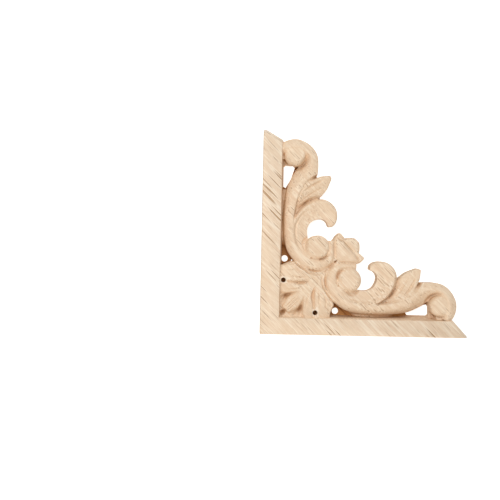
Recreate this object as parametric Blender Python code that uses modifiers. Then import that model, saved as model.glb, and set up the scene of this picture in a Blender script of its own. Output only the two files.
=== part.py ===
"""A carved wooden corner onlay: two plain ledges at a right angle, filled with scrolling leaf work.

It stands upright, as it does on a door or a picture rail: +X runs along the lower ledge, +Z along the
upright one, and the carving faces -Y. The flat back lies in the plane Y = 0, and the origin is on it, where
the centre lines of the two ledges cross.

Sizes are in millimetres. A place on the face is (along, up) from the onlay's outer corner, and a height is
measured from the back. The scroll work is the same on both sides of the diagonal, so it is given for the
lower ledge's side and repeated with along and up exchanged.
"""

import bmesh
import bpy
import numpy as np

MM = 0.001

BOARD = 9.0  # thickness of the board, so the height of the ledges and of the volutes' eyes
LOWER_LEG = 80.0
UPRIGHT_LEG = 78.7
LOWER_FACE = 6.3  # width of the lower ledge's front
UPRIGHT_FACE = 7.2
DRAFT = 1.1  # how much wider each ledge is at the back, from the tapered cutter
EASED = 1.6  # how far the eased edge of a mitred end reaches in, and down
LEDGE_CENTRE = 4.0  # from an outer edge to the ledge's centre line at the back
LOWER_END_CUT = 6.3  # how far the mitred end runs back along the ledge
UPRIGHT_END_CUT = 4.1
LOWER_BLUNT = 0.6  # the square stump left at each mitre's point
UPRIGHT_BLUNT = 1.2
UPRIGHT_SHIFT = (0.4, -0.4)  # the upright side's carving sits this much off a true mirror image
WEB = 0.7  # thickness left in the deep pockets
GROUND = 3.6  # and between a stem and its ledge
BED = 4.8  # and under the bud and the pointed leaf
PALMETTE_BED = 5.6
SHELF = 6.3  # and where the end volute meets the ledge
SEAT = 6.6  # and round the inner volute's eye
BELOW = 1.5  # how far the shapes run through the back before it is planed flat
STATION = 1.7  # spacing of the sections along a stroke
HALF_SECTION = (1.0, 0.78, 0.5, 0.22)  # where a section has its points, from its edge to its ridge
EYE_SIDES = 24
HOLE_SIDES = 16

# The ground under the scrolls: the lower halves of outlines that cross the diagonal, and whole outlines on
# the lower side, all kept inside the outline of the carving.
WEB_HALF = [(4, 4), (70, 4), (73, 9), (71, 15), (66, 19), (58, 20), (55, 22), (50, 24), (47, 20), (42, 16.5)]
WEB_HALF += [(36.5, 17.0), (35, 24), (35.6, 29), (36, 36)]
PALMETTE_HALF = [(10, 10), (12, 6), (26.4, 6.0), (26.8, 8.0), (28.4, 11.8), (25, 17), (25, 22), (26, 26)]
BUD_HALF = [(27, 27), (33, 26.5), (37, 27.8), (38.5, 30), (37, 32), (36.5, 36.5)]
GROUND_SIDE = [(35.4, 6), (51.6, 6), (51.6, 10), (35.4, 10)]
SHELF_SIDE = [(68.2, 5), (74.4, 5), (74.2, 7.6), (73.0, 10), (68.2, 10)]
LEAF_SIDE = [(44, 12), (52, 12.4), (57, 15), (59.5, 20), (60, 23), (54.4, 23), (52, 20), (49, 15)]
SEAT_SIDE = [(29, 19.4), (31.6, 16.8), (35.4, 16.7), (38, 19), (38, 23.8), (35.4, 26.1), (31.6, 26), (29, 23.4)]

# The openings on the lower side: the triangle behind the stem, the round hole under it and the blind pit.
TRIANGLE = [(57.3, 8.7), (57.9, 7.8), (65.4, 7.8), (66.1, 8.5), (66.0, 11.5), (65.3, 12.2), (61.0, 10.8)]
HOLE = (29.6, 8.9)
HOLE_RADIUS = 1.25
PIT = (21.3, 8.4)
PIT_RADIUS = 1.0
PIT_FLOOR = 1.5

WOOD_COLOUR = (0.80, 0.62, 0.44, 1.0)


def remove_everything():
    for thing in list(bpy.data.objects):
        bpy.data.objects.remove(thing)
    for group in list(bpy.data.collections):
        bpy.data.collections.remove(group)


def new_collection(name):
    group = bpy.data.collections.new(name)
    bpy.context.scene.collection.children.link(group)
    return group


def place(along, up, height):
    return ((along - LEDGE_CENTRE) * MM, -height * MM, (up - LEDGE_CENTRE) * MM)


def on_side(along, up, mirrored):
    """A place given for the lower ledge's side, taken to the upright one's if mirrored."""
    return (up + UPRIGHT_SHIFT[0], along + UPRIGHT_SHIFT[1]) if mirrored else (along, up)


def on_diagonal(value):
    return (value + UPRIGHT_SHIFT[0] / 2, value + UPRIGHT_SHIFT[1] / 2)


def smooth(values, knots, at):
    """A smooth curve through the values, which stand at the knots."""
    values = np.asarray(values, float)
    slopes = np.gradient(values, knots, axis=0)
    span = np.clip(np.searchsorted(knots, at, side="right") - 1, 0, len(knots) - 2)
    width = knots[span + 1] - knots[span]
    part = (at - knots[span]) / width
    if values.ndim > 1:
        part, width = part[:, None], width[:, None]
    start = (1 + 2 * part) * (1 - part) ** 2 * values[span]
    end = part**2 * (3 - 2 * part) * values[span + 1]
    leave = part * (1 - part) ** 2 * width * slopes[span]
    arrive = part**2 * (part - 1) * width * slopes[span + 1]
    return start + end + leave + arrive


def fall(distance, bulge):
    """How much of a ridge's height is left at a distance from it: 1 on the ridge, 0 at the edge."""
    if bulge >= 0:
        return 1 - distance ** (1 + bulge)
    return (1 - distance) ** (1 - bulge)


def solid_of(name, sections, group):
    """A closed solid lofted through sections of equally many points."""
    mesh = bmesh.new()
    rings = [[mesh.verts.new(place(*point)) for point in section] for section in sections]
    for ring, following in zip(rings, rings[1:]):
        for i in range(len(ring)):
            j = (i + 1) % len(ring)
            mesh.faces.new((ring[i], ring[j], following[j], following[i]))
    mesh.faces.new(rings[0])
    mesh.faces.new(reversed(rings[-1]))
    bmesh.ops.recalc_face_normals(mesh, faces=mesh.faces)
    data = bpy.data.meshes.new(name)
    mesh.to_mesh(data)
    mesh.free()
    thing = bpy.data.objects.new(name, data)
    group.objects.link(thing)
    return thing


def stroke(name, group, ridge, left, right, crest, feet=(5.0, 5.0), bulges=(1.0, 1.0), mirrored=False):
    """One stroke of the carving: a ridge with a slope on each side, down to a foot and then to the back.

    left and right give a slope's width at each point of the ridge, or the places where it ends. crest gives
    the ridge's heights, and the two feet are heights too. A bulge above 0 makes a slope full, one below 0
    hollow. feet and bulges are for the left and the right slope, each one number or one for each point of
    the ridge.
    """
    ridge = np.array(ridge, float)
    steps = np.linalg.norm(np.diff(ridge, axis=0), axis=1)
    knots = np.concatenate([[0], np.cumsum(steps)]) / steps.sum()
    at = np.linspace(0, 1, max(3, round(steps.sum() / STATION)) + 1)
    path = smooth(ridge, knots, at)
    ahead = np.gradient(path, at, axis=0)
    ahead /= np.linalg.norm(ahead, axis=1)[:, None]
    to_left = np.stack([-ahead[:, 1], ahead[:, 0]], axis=1)
    slopes = []
    for reach, foot, bulge, way in zip((left, right), feet, bulges, (1, -1)):
        reach = smooth(reach, knots, at)
        ends = reach if reach.ndim > 1 else path + way * to_left * reach[:, None]
        foot, bulge = (smooth(np.broadcast_to(value, len(ridge)), knots, at) for value in (foot, bulge))
        slopes.append(list(zip(ends, foot, bulge)))
    sections = []
    for spot, top, *sides in zip(path, smooth(crest, knots, at), *slopes):
        halves = []
        for end, foot, bulge in sides:
            half = [(*end, -BELOW)]
            for share in HALF_SECTION:
                half.append((*(spot + (end - spot) * share), foot + (top - foot) * fall(share, bulge)))
            halves.append(half)
        section = halves[0] + [(*spot, top)] + halves[1][::-1]
        sections.append([(*on_side(along, up, mirrored), height) for along, up, height in section])
    return solid_of(name, sections, group)


def eye(name, group, centre, radius, foot, mirrored=False):
    """A volute's round boss, nearly flat on top: a profile, from the middle out, turned about its axis."""
    top = [(0.0, BOARD), (0.5, BOARD), (0.8, BOARD - 0.5), (0.95, foot + 0.45 * (BOARD - foot))]
    bottom = [(1.0, foot), (1.0, -BELOW), (0.0, -BELOW)]
    mesh = bmesh.new()
    points = [mesh.verts.new((radius * share * MM, 0, height * MM)) for share, height in top + bottom]
    for point, following in zip(points, points[1:]):
        mesh.edges.new((point, following))
    data = bpy.data.meshes.new(name)
    mesh.to_mesh(data)
    mesh.free()
    thing = bpy.data.objects.new(name, data)
    thing.rotation_euler.x = np.pi / 2
    thing.location = place(*on_side(*centre, mirrored), 0)
    turn = thing.modifiers.new("turn", "SCREW")
    turn.axis = "Z"
    turn.steps = EYE_SIDES
    turn.render_steps = EYE_SIDES
    turn.use_merge_vertices = True
    turn.merge_threshold = 1e-5
    group.objects.link(thing)
    return thing


def flat_shape(name, group, outline, low, high):
    """A flat outline as a 2D curve, given half its thickness on each side and made a mesh."""
    curve = bpy.data.curves.new(name, "CURVE")
    curve.dimensions = "2D"
    curve.fill_mode = "BOTH"
    curve.extrude = (high - low) / 2 * MM
    line = curve.splines.new("POLY")
    line.points.add(len(outline) - 1)
    line.use_cyclic_u = True
    for point, (along, up) in zip(line.points, outline):
        point.co = ((along - LEDGE_CENTRE) * MM, (up - LEDGE_CENTRE) * MM, 0, 1)
    drawn = bpy.data.objects.new(name + "_outline", curve)
    drawn.rotation_euler.x = np.pi / 2
    drawn.location.y = -(high + low) / 2 * MM
    group.objects.link(drawn)
    bpy.context.view_layer.update()
    graph = bpy.context.evaluated_depsgraph_get()
    data = bpy.data.meshes.new_from_object(drawn.evaluated_get(graph))
    mesh = bmesh.new()
    mesh.from_mesh(data)
    bmesh.ops.remove_doubles(mesh, verts=mesh.verts, dist=1e-6)
    bmesh.ops.recalc_face_normals(mesh, faces=mesh.faces)
    mesh.to_mesh(data)
    mesh.free()
    thing = bpy.data.objects.new(name, data)
    thing.matrix_world = drawn.matrix_world
    group.objects.link(thing)
    bpy.data.objects.remove(drawn)
    return thing


def ledges(name, group):
    """The two plain ledges as one L: their inner walls lean back, and their mitred ends are eased in front."""

    def outline(height):
        lower = LOWER_FACE + DRAFT * (BOARD - height) / BOARD
        upright = UPRIGHT_FACE + DRAFT * (BOARD - height) / BOARD
        shorter = max(0.0, height - BOARD + EASED)
        lower_leg, upright_leg = LOWER_LEG - shorter, UPRIGHT_LEG - shorter
        return [
            (0.0, 0.0),
            (lower_leg, 0.0),
            (lower_leg, LOWER_BLUNT),
            (lower_leg - LOWER_END_CUT * lower / (LOWER_FACE + DRAFT), lower),
            (upright, lower),
            (upright, upright_leg - UPRIGHT_END_CUT * upright / (UPRIGHT_FACE + DRAFT)),
            (UPRIGHT_BLUNT, upright_leg),
            (0.0, upright_leg),
        ]

    heights = (-BELOW, BOARD - EASED, BOARD)
    return solid_of(name, [[(*point, height) for point in outline(height)] for height in heights], group)


def both_sides(points):
    """A closed outline from its lower half, whose first and last points are on the diagonal."""
    return points + [(up, along) for along, up in reversed(points[1:-1])]


def carve_half(group, mirrored):
    """The scroll work on one side of the diagonal, from the end volute to the corner palmette."""
    side = "upright" if mirrored else "lower"

    def cut(name, **values):
        stroke(f"{name}_{side}", group, mirrored=mirrored, **values)

    cut(
        "stem",
        ridge=[
            (72.6, 7.8), (72.9, 11.8), (72.0, 15.0), (69.2, 17.9), (65.2, 18.3), (61.2, 16.8), (56.6, 14.0),
            (50.3, 12.2), (44.2, 11.5), (38.2, 11.8), (33.2, 13.4), (29.8, 16.2), (28.0, 20.0), (28.0, 23.4),
            (29.6, 25.8), (32.4, 26.6), (36.8, 26.4),
        ],
        left=[2.4, 3.0, 2.8, 2.6, 3.2, 4.6, 4.8, 4.1, 3.7, 3.6, 3.5, 3.2, 2.9, 2.6, 2.2, 1.9, 2.0],
        right=[2.9, 3.0, 2.9, 2.7, 2.7, 3.8, 1.6, 1.0, 0.8, 0.8, 1.0, 1.3, 1.5, 1.5, 1.3, 1.1, 1.0],
        crest=[8.7, 8.8, 8.7, 8.2, 7.9, 7.8, 7.7, 7.6, 7.5, 7.5, 7.6, 7.8, 8.0, 8.1, 8.1, 7.9, 7.6],
        feet=(
            [6.0, 6.0, 5.6, 5.0, 4.8, 4.6, 4.6, 4.6, 4.6, 4.6, 4.6, 4.6, 4.8, 5.2, 5.4, 5.4, 5.4],
            [6.4, 6.6, 6.6, 6.4, 6.4, 6.4, 6.0, 5.6, 5.6, 5.6, 6.0, 6.8, 7.2, 7.3, 7.2, 7.0, 6.8],
        ),
        bulges=(1.4, 1.0),
    )
    cut(
        "hook_leaf",
        ridge=[
            (29.4, 18.0), (31.0, 15.2), (34.4, 13.0), (38.6, 11.9), (42.6, 11.8), (46.0, 13.4), (48.8, 16.0),
            (50.9, 19.2), (51.8, 22.6), (50.9, 25.4), (48.8, 27.4), (45.8, 28.0), (43.6, 27.4), (42.6, 26.6),
        ],
        left=[
            (31.9, 20.0), (33.2, 18.6), (36.4, 17.9), (39.2, 17.3), (41.6, 17.4), (43.4, 18.3), (44.5, 19.8),
            (45.1, 21.4), (45.2, 22.7), (44.8, 23.8), (44.1, 24.6), (43.5, 25.0), (42.8, 25.2), (42.2, 25.6),
        ],
        right=[0.5, 0.6, 0.7, 0.8, 0.8, 1.0, 1.2, 1.2, 1.1, 1.0, 0.9, 0.8, 0.7, 0.5],
        crest=[7.6, 7.5, 7.4, 7.4, 7.4, 7.3, 7.3, 7.3, 7.2, 7.1, 7.0, 6.8, 6.6, 6.3],
        feet=(
            [7.2, 6.9, 6.3, 5.8, 5.6, 5.6, 5.7, 5.8, 5.9, 6.0, 6.0, 6.0, 5.9, 5.8],
            [5.2, 5.2, 5.2, 5.2, 5.2, 5.2, 5.6, 6.0, 6.1, 6.1, 6.0, 5.9, 5.7, 5.5],
        ),
        bulges=([-0.2, -0.6, -1.2, -1.5, -1.3, -1.0, -0.7, -0.5, -0.3, 0.0, 0.3, 0.5, 0.6, 0.8], 0.9),
    )
    cut(
        "leaf",
        ridge=[(53.6, 13.6), (57.2, 16.3), (59.5, 19.2), (61.0, 22.2), (62.0, 25.0)],
        left=[(49.6, 13.6), (52.0, 18.0), (53.3, 21.2), (55.6, 24.2), (60.4, 26.0)],
        right=[0.9, 0.9, 0.8, 0.7, 0.3],
        crest=[7.2, 7.3, 7.3, 7.0, 6.4],
        feet=([4.8, 4.8, 5.0, 5.4, 5.6], [4.6, 4.6, 5.0, 5.4, 5.6]),
        bulges=(1.2, 0.8),
    )
    eye(f"end_eye_{side}", group, (69.7, 12.0), 4.3, 6.4, mirrored)
    eye(f"inner_eye_{side}", group, (34.2, 21.3), 4.6, 7.0, mirrored)
    for name, ridge, left, right, crest, feet, bulge in (
        ("bud_side", [(27.6, 28.6), (30.6, 29.6), (33.6, 29.9), (36.6, 29.7), (39.9, 29.9)],
         [0.6, 3.0, 3.8, 2.9, 0.3], [0.5, 1.8, 2.4, 2.2, 0.3], [6.8, 7.4, 7.6, 7.4, 6.4], (6.4, 6.0), 1.8),
        ("lobe_outer", [(23.0, 22.0), (22.9, 17.5), (23.8, 13.0), (24.3, 7.4)],
         [0.9, 2.2, 3.6, 2.6], [0.7, 2.0, 3.2, 3.4], [7.3, 7.3, 7.2, 6.8], (6.4, 6.4), 3.0),
        ("lobe_rim", [(25.4, 16.0), (28.0, 12.2), (27.2, 9.8), (26.0, 7.4)],
         [0.7, 0.8, 0.7, 0.6], [0.8, 0.8, 0.8, 0.8], [7.0, 7.2, 7.0, 6.6], (5.4, 5.4), 1.0),
        ("lobe_inner", [(22.0, 20.4), (19.4, 16.5), (18.5, 12.5), (18.7, 7.4)],
         [0.7, 1.2, 2.2, 1.9], [0.7, 1.5, 2.2, 2.0], [7.1, 7.2, 7.0, 6.7], (6.2, 6.2), 2.6),
        ("fillet", [(24.6, 24.4), (24.2, 21.0), (25.0, 17.2), (26.6, 14.8)],
         [0.7, 0.7, 0.7, 0.5], [0.6, 0.6, 0.6, 0.4], [7.2, 7.1, 7.1, 6.8], (5.6, 5.6), 1.0),
    ):
        cut(name, ridge=ridge, left=left, right=right, crest=crest, feet=feet, bulges=(bulge, bulge))
    for name, outline, height in (
        ("ground", GROUND_SIDE, GROUND),
        ("shelf", SHELF_SIDE, SHELF),
        ("leaf_bed", LEAF_SIDE, BED),
        ("seat", SEAT_SIDE, SEAT),
    ):
        outline = [on_side(*point, mirrored) for point in outline]
        flat_shape(f"{name}_{side}", group, outline, -BELOW, height)


def carve_diagonal(group):
    """What lies on the diagonal: the palmette's middle lobe and hub, the bud's body and its end petal."""
    for name, middle, half, crest, foot, bulge in (
        ("lobe_middle", (22.6, 17.0, 12.8, 9.6), (0.8, 2.2, 3.0, 1.9), (7.2, 7.3, 7.1, 6.6), 6.0, 2.4),
        ("hub", (20.6, 22.6, 24.6), (1.6, 1.8, 1.0), (7.0, 7.1, 6.8), 6.2, 2.0),
        ("bud_body", (27.8, 30.6, 33.0, 34.8), (1.2, 3.4, 5.2, 4.4), (7.0, 7.8, 7.9, 7.4), 6.4, 1.8),
        ("bud_petal", (33.0, 35.4, 37.4), (3.6, 4.0, 1.6), (6.9, 7.2, 6.7), 6.0, 2.4),
    ):
        ridge = [on_diagonal(value) for value in middle]
        stroke(name, group, ridge, half, half, crest, feet=(foot, foot), bulges=(bulge, bulge))


def cylinder(name, group, centre, radius, low, high):
    bpy.ops.mesh.primitive_cylinder_add(
        vertices=HOLE_SIDES,
        radius=radius * MM,
        depth=(high - low) * MM,
        location=place(*centre, (high + low) / 2),
        rotation=(np.pi / 2, 0, 0),
    )
    take_over(bpy.context.object, name, group)


def take_over(thing, name, group):
    """Names what an operator has just made and moves it to a group of its own."""
    thing.name = name
    bpy.context.collection.objects.unlink(thing)
    group.objects.link(thing)


def openings(group):
    """Cutters for the holes that go right through and for the blind pits beside the ledges."""
    above, beyond = BOARD + BELOW, -2 * BELOW
    for side, mirrored in (("lower", False), ("upright", True)):
        triangle = [on_side(*point, mirrored) for point in TRIANGLE]
        flat_shape(f"triangle_{side}", group, triangle, beyond, above)
        cylinder(f"hole_{side}", group, on_side(*HOLE, mirrored), HOLE_RADIUS, beyond, above)
        cylinder(f"pit_{side}", group, on_side(*PIT, mirrored), PIT_RADIUS, PIT_FLOOR, above)


def back_plane(group):
    """A block behind the onlay, whose front planes the back flat."""
    bpy.ops.mesh.primitive_cube_add(size=1, location=place(LOWER_LEG / 2, UPRIGHT_LEG / 2, -BELOW))
    plane = bpy.context.object
    plane.scale = (2 * LOWER_LEG * MM, 2 * BELOW * MM, 2 * UPRIGHT_LEG * MM)
    take_over(plane, "back_plane", group)


def wood():
    material = bpy.data.materials.new("unfinished_wood")
    material.use_nodes = True
    shader = material.node_tree.nodes["Principled BSDF"]
    shader.inputs["Base Color"].default_value = WOOD_COLOUR
    shader.inputs["Roughness"].default_value = 0.7
    shader.inputs["Metallic"].default_value = 0.0
    return material


remove_everything()
solids = new_collection("corner_onlay")
shapes = new_collection("shapes")
cutters = new_collection("cutters")
onlay = ledges("corner_onlay", solids)
onlay.data.materials.append(wood())
flat_shape("web", shapes, both_sides(WEB_HALF), -BELOW, WEB)
flat_shape("palmette_bed", shapes, both_sides(PALMETTE_HALF), -BELOW, PALMETTE_BED)
flat_shape("bud_bed", shapes, both_sides(BUD_HALF), -BELOW, BED)
carve_diagonal(shapes)
for mirrored in (False, True):
    carve_half(shapes, mirrored)
openings(cutters)
back_plane(cutters)
for helper in [*shapes.objects, *cutters.objects]:
    helper.hide_render = True
    helper.display_type = "WIRE"
for operation, group in (("UNION", shapes), ("DIFFERENCE", cutters)):
    step = onlay.modifiers.new(operation.lower(), "BOOLEAN")
    step.operation = operation
    step.solver = "EXACT"
    step.operand_type = "COLLECTION"
    step.collection = group
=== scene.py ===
# %% [markdown]
# # A carved corner onlay of bare wood
#
# The real thing is a small applied ornament. It is sawn and carved from one board of pale hardwood, sanded a
# little and left without stain or varnish, to be glued on the corner of a door or a picture rail. Two plain
# ledges run along its outer edges, and a scroll, a hooked leaf, a pointed leaf and half a palmette fill each
# arm.
#
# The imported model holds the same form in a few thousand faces. This script loads it as the frame, carves the
# form again with a finer tool, gives it its wood, and sets up the camera and a plain studio.

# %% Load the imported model
from math import cos, pi, radians, sin, tau

import bmesh
import bpy
import numpy as np
from mathutils import Matrix, Vector


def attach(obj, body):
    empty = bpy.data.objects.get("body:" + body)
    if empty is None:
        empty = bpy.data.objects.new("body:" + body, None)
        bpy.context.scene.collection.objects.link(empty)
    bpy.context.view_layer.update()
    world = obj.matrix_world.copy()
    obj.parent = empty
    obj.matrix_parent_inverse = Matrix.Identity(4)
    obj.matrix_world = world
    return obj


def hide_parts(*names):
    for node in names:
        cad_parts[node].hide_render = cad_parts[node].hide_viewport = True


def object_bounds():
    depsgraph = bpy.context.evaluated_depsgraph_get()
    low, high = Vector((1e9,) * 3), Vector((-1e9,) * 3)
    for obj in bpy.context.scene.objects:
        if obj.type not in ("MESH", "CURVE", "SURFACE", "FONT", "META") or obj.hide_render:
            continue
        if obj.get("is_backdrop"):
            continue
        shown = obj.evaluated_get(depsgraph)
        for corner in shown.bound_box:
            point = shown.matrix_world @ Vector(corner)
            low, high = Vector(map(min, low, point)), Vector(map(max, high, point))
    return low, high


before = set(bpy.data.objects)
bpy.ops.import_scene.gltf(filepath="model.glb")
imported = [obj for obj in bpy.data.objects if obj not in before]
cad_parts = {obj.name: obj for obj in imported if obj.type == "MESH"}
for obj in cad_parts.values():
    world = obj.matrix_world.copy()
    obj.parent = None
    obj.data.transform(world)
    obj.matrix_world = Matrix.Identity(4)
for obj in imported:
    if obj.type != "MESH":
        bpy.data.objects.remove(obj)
cad_low, cad_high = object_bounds()
print("packed model, in mm:", [round(1000 * side, 1) for side in cad_high - cad_low])

# %% [markdown]
# ## Where things are
#
# A carver measures from the outer corner, so a place on the face is (along, up) in millimetres from there, and
# a height is measured from the back. The frame puts its origin on the back, where the centre lines of the two
# ledges cross, with the carving towards -Y. One function turns the carver's numbers into the frame's metres.

# %% The carver's millimetres
MM = 0.001
BOARD = round((cad_high.y - cad_low.y) / MM, 3)
CORNER = (cad_low.x / MM, cad_low.z / MM)
LOWER_LEG = (cad_high.x - cad_low.x) / MM
UPRIGHT_LEG = (cad_high.z - cad_low.z) / MM
BELOW = 1.5  # the shapes run this far through the back, which is planed flat at the end


def place(along, up, height):
    return ((along + CORNER[0]) * MM, -height * MM, (up + CORNER[1]) * MM)


print(f"board {BOARD:.1f} mm, legs {LOWER_LEG:.1f} and {UPRIGHT_LEG:.1f} mm")

# %% [markdown]
# ## Both arms from one drawing
#
# The scroll work is the same on both arms. It is drawn once, for the lower arm, and the upright arm exchanges
# along and up. The real pair of arms isn't quite a mirror image, and the upright one sits 0.4 mm off.

# %% The two arms
UPRIGHT_SHIFT = (0.4, -0.4)
ARMS = (("lower", False), ("upright", True))


def on_arm(along, up, mirrored):
    return (up + UPRIGHT_SHIFT[0], along + UPRIGHT_SHIFT[1]) if mirrored else (along, up)


def on_diagonal(value):
    return (value + UPRIGHT_SHIFT[0] / 2, value + UPRIGHT_SHIFT[1] / 2)


print("(60, 10) is on the upright arm at", on_arm(60, 10, True))

# %% [markdown]
# ## A smooth line through a few points
#
# Each ridge, edge and crease is given by the few points that its shape needs. A cubic curve through them, with
# slopes taken from the neighbours, gives as many points as the tool needs. The same function also spreads a
# width or a height that is known only at those points.

# %% Smooth curves
def knots_of(points):
    steps = np.linalg.norm(np.diff(points, axis=0), axis=1)
    return np.concatenate([[0], np.cumsum(steps)])


def smooth(values, knots, at):
    values = np.asarray(values, float)
    slopes = np.gradient(values, knots, axis=0)
    span = np.clip(np.searchsorted(knots, at, side="right") - 1, 0, len(knots) - 2)
    width = knots[span + 1] - knots[span]
    part = (at - knots[span]) / width
    if values.ndim > 1:
        part, width = part[:, None], width[:, None]
    start = (1 + 2 * part) * (1 - part) ** 2 * values[span]
    end = part**2 * (3 - 2 * part) * values[span + 1]
    leave = part * (1 - part) ** 2 * width * slopes[span]
    arrive = part**2 * (part - 1) * width * slopes[span + 1]
    return start + end + leave + arrive


print("through 0, 1 and 0:", smooth([0, 1, 0], np.arange(3.0), np.linspace(0, 2, 5)).round(2))

# %% [markdown]
# ## One stroke of the carving
#
# Every leaf and scroll is a stroke: a ridge that rises and falls along its way, with a slope on each side down
# to a foot. A full slope bulges as a scroll does, and a hollow one dips as the dished side of a leaf does.
# Blender has no tool for a section that changes both its width and its height along a curve, so the stroke is
# lofted: one ring of points for each station, and quads between the rings.

# %% Strokes
STATION = 0.6  # spacing of the sections along a stroke
HALF_SECTION = (1.0, 0.93, 0.85, 0.75, 0.64, 0.52, 0.4, 0.28, 0.16, 0.07)  # from the edge to the ridge


def fall(distance, bulge):
    """How much of the ridge's height is left: 1 on the ridge, 0 at the edge."""
    if bulge >= 0:
        return 1 - distance ** (1 + bulge)
    return (1 - distance) ** (1 - bulge)


def solid_of(name, sections):
    """A closed solid lofted through sections of equally many points."""
    mesh = bmesh.new()
    rings = [[mesh.verts.new(place(*point)) for point in section] for section in sections]
    for ring, following in zip(rings, rings[1:]):
        for i in range(len(ring)):
            j = (i + 1) % len(ring)
            mesh.faces.new((ring[i], ring[j], following[j], following[i]))
    mesh.faces.new(rings[0])
    mesh.faces.new(reversed(rings[-1]))
    bmesh.ops.recalc_face_normals(mesh, faces=mesh.faces)
    data = bpy.data.meshes.new(name)
    mesh.to_mesh(data)
    mesh.free()
    return data


def stroke(name, ridge, left, right, crest, feet, bulges, mirrored=False):
    """left and right give a slope's width at each point of the ridge, or the places where it ends.

    feet and bulges are for the left and the right slope, each a number or one for each point of the ridge."""
    ridge = np.array(ridge, float)
    knots = knots_of(ridge)
    at = np.linspace(0, knots[-1], max(6, round(knots[-1] / STATION)) + 1)
    path = smooth(ridge, knots, at)
    ahead = np.gradient(path, at, axis=0)
    ahead /= np.linalg.norm(ahead, axis=1)[:, None]
    to_left = np.stack([-ahead[:, 1], ahead[:, 0]], axis=1)
    slopes = []
    for reach, foot, bulge, way in zip((left, right), feet, bulges, (1, -1)):
        reach = smooth(reach, knots, at)
        ends = reach if reach.ndim > 1 else path + way * to_left * reach[:, None]
        foot, bulge = (smooth(np.broadcast_to(value, len(ridge)), knots, at) for value in (foot, bulge))
        slopes.append(list(zip(ends, foot, bulge)))
    sections = []
    for spot, top, *sides in zip(path, smooth(crest, knots, at), *slopes):
        halves = []
        for end, foot, bulge in sides:
            half = [(*end, -BELOW)]
            for share in HALF_SECTION:
                half.append((*(spot + (end - spot) * share), foot + (top - foot) * fall(share, bulge)))
            halves.append(half)
        section = halves[0] + [(*spot, top)] + halves[1][::-1]
        sections.append([(*on_arm(along, up, mirrored), height) for along, up, height in section])
    return solid_of(name, sections)


print("points in a section:", 2 * len(HALF_SECTION) + 3)

# %% [markdown]
# ## The eyes of the scrolls
#
# Each scroll winds up on a round boss. Its top is nearly flat, a little below the board's face, and shows the
# open vessels of the wood. A round boss is a profile turned about its axis.

# %% Eyes
EYE_SIDES = 64
EYE_TOP = BOARD - 0.35
EYE_PROFILE = [
    # share of the radius, share of the height
    (1.0, 0.0), (0.985, 0.22), (0.95, 0.42), (0.9, 0.58), (0.83, 0.73), (0.74, 0.85), (0.63, 0.94), (0.5, 0.99),
    (0.35, 1.0),
]


def ring(along, up, radius, sides):
    turns = np.linspace(0, tau, sides, endpoint=False)
    return [(along + radius * cos(turn), up + radius * sin(turn)) for turn in turns]


def eye(name, centre, radius, foot, mirrored):
    centre = on_arm(*centre, mirrored)
    profile = [(1.0, -BELOW)] + [(share, foot + (EYE_TOP - foot) * rise) for share, rise in EYE_PROFILE]
    sections = [
        [(*spot, height) for spot in ring(*centre, radius * share, EYE_SIDES)] for share, height in profile
    ]
    return solid_of(name, sections)


print(f"the eyes' tops: {EYE_TOP:.2f} mm")

# %% [markdown]
# ## The ground under the scrolls
#
# A thin web of wood joins the scrolls behind, and the lobes of the palmette and the bud share a thicker bed.
# A flat outline is a 2D curve given a thickness, which is the quickest true prism that Blender makes.

# %% Flat shapes
def new_object(name, data):
    thing = bpy.data.objects.new(name, data)
    bpy.context.scene.collection.objects.link(thing)
    return thing


def flat_shape(name, outline, low, high):
    curve = bpy.data.curves.new(name, "CURVE")
    curve.dimensions = "2D"
    curve.fill_mode = "BOTH"
    curve.extrude = (high - low) / 2 * MM
    line = curve.splines.new("POLY")
    line.points.add(len(outline) - 1)
    line.use_cyclic_u = True
    for point, (along, up) in zip(line.points, outline):
        x, _, z = place(along, up, 0)
        point.co = (x, z, 0, 1)
    drawn = new_object(name, curve)
    bpy.context.view_layer.update()
    data = bpy.data.meshes.new_from_object(drawn.evaluated_get(bpy.context.evaluated_depsgraph_get()))
    bpy.data.objects.remove(drawn)
    data.transform(Matrix.Translation((0, -(high + low) / 2 * MM, 0)) @ Matrix.Rotation(pi / 2, 4, "X"))
    mesh = bmesh.new()
    mesh.from_mesh(data)
    bmesh.ops.remove_doubles(mesh, verts=mesh.verts, dist=1e-6)
    bmesh.ops.recalc_face_normals(mesh, faces=mesh.faces)
    mesh.to_mesh(data)
    mesh.free()
    return data


def both_sides(points):
    """A closed outline from its lower half, whose first and last points are on the diagonal."""
    return points + [(up, along) for along, up in reversed(points[1:-1])]


WEB = 0.7  # thickness left in the deep pockets
SHELF = 6.3  # and where the end volute meets the ledge
STEP = 3.4  # and between the triangle and that shelf
BED = 4.8  # under the bud
PALMETTE_BED = 5.6
WEB_HALF = [(4, 4), (70, 4), (73, 9), (71, 15), (66, 19), (58, 20), (55, 22), (50, 24), (47, 20), (42, 16.5)]
WEB_HALF += [(36.5, 17.0), (35, 24), (35.6, 29), (36, 36)]
PALMETTE_HALF = [(5, 5), (26.4, 6.0), (26.8, 8.0), (28.4, 11.8), (25, 17), (25, 22), (26, 26)]
BUD_HALF = [(27, 27), (33, 26.5), (37, 27.8), (38.5, 30), (37, 32), (36.5, 36.5)]
forms = [
    flat_shape("web", both_sides(WEB_HALF), -BELOW, WEB),
    flat_shape("palmette_bed", both_sides(PALMETTE_HALF), -BELOW, PALMETTE_BED),
    flat_shape("bud_bed", both_sides(BUD_HALF), -BELOW, BED),
]
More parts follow.
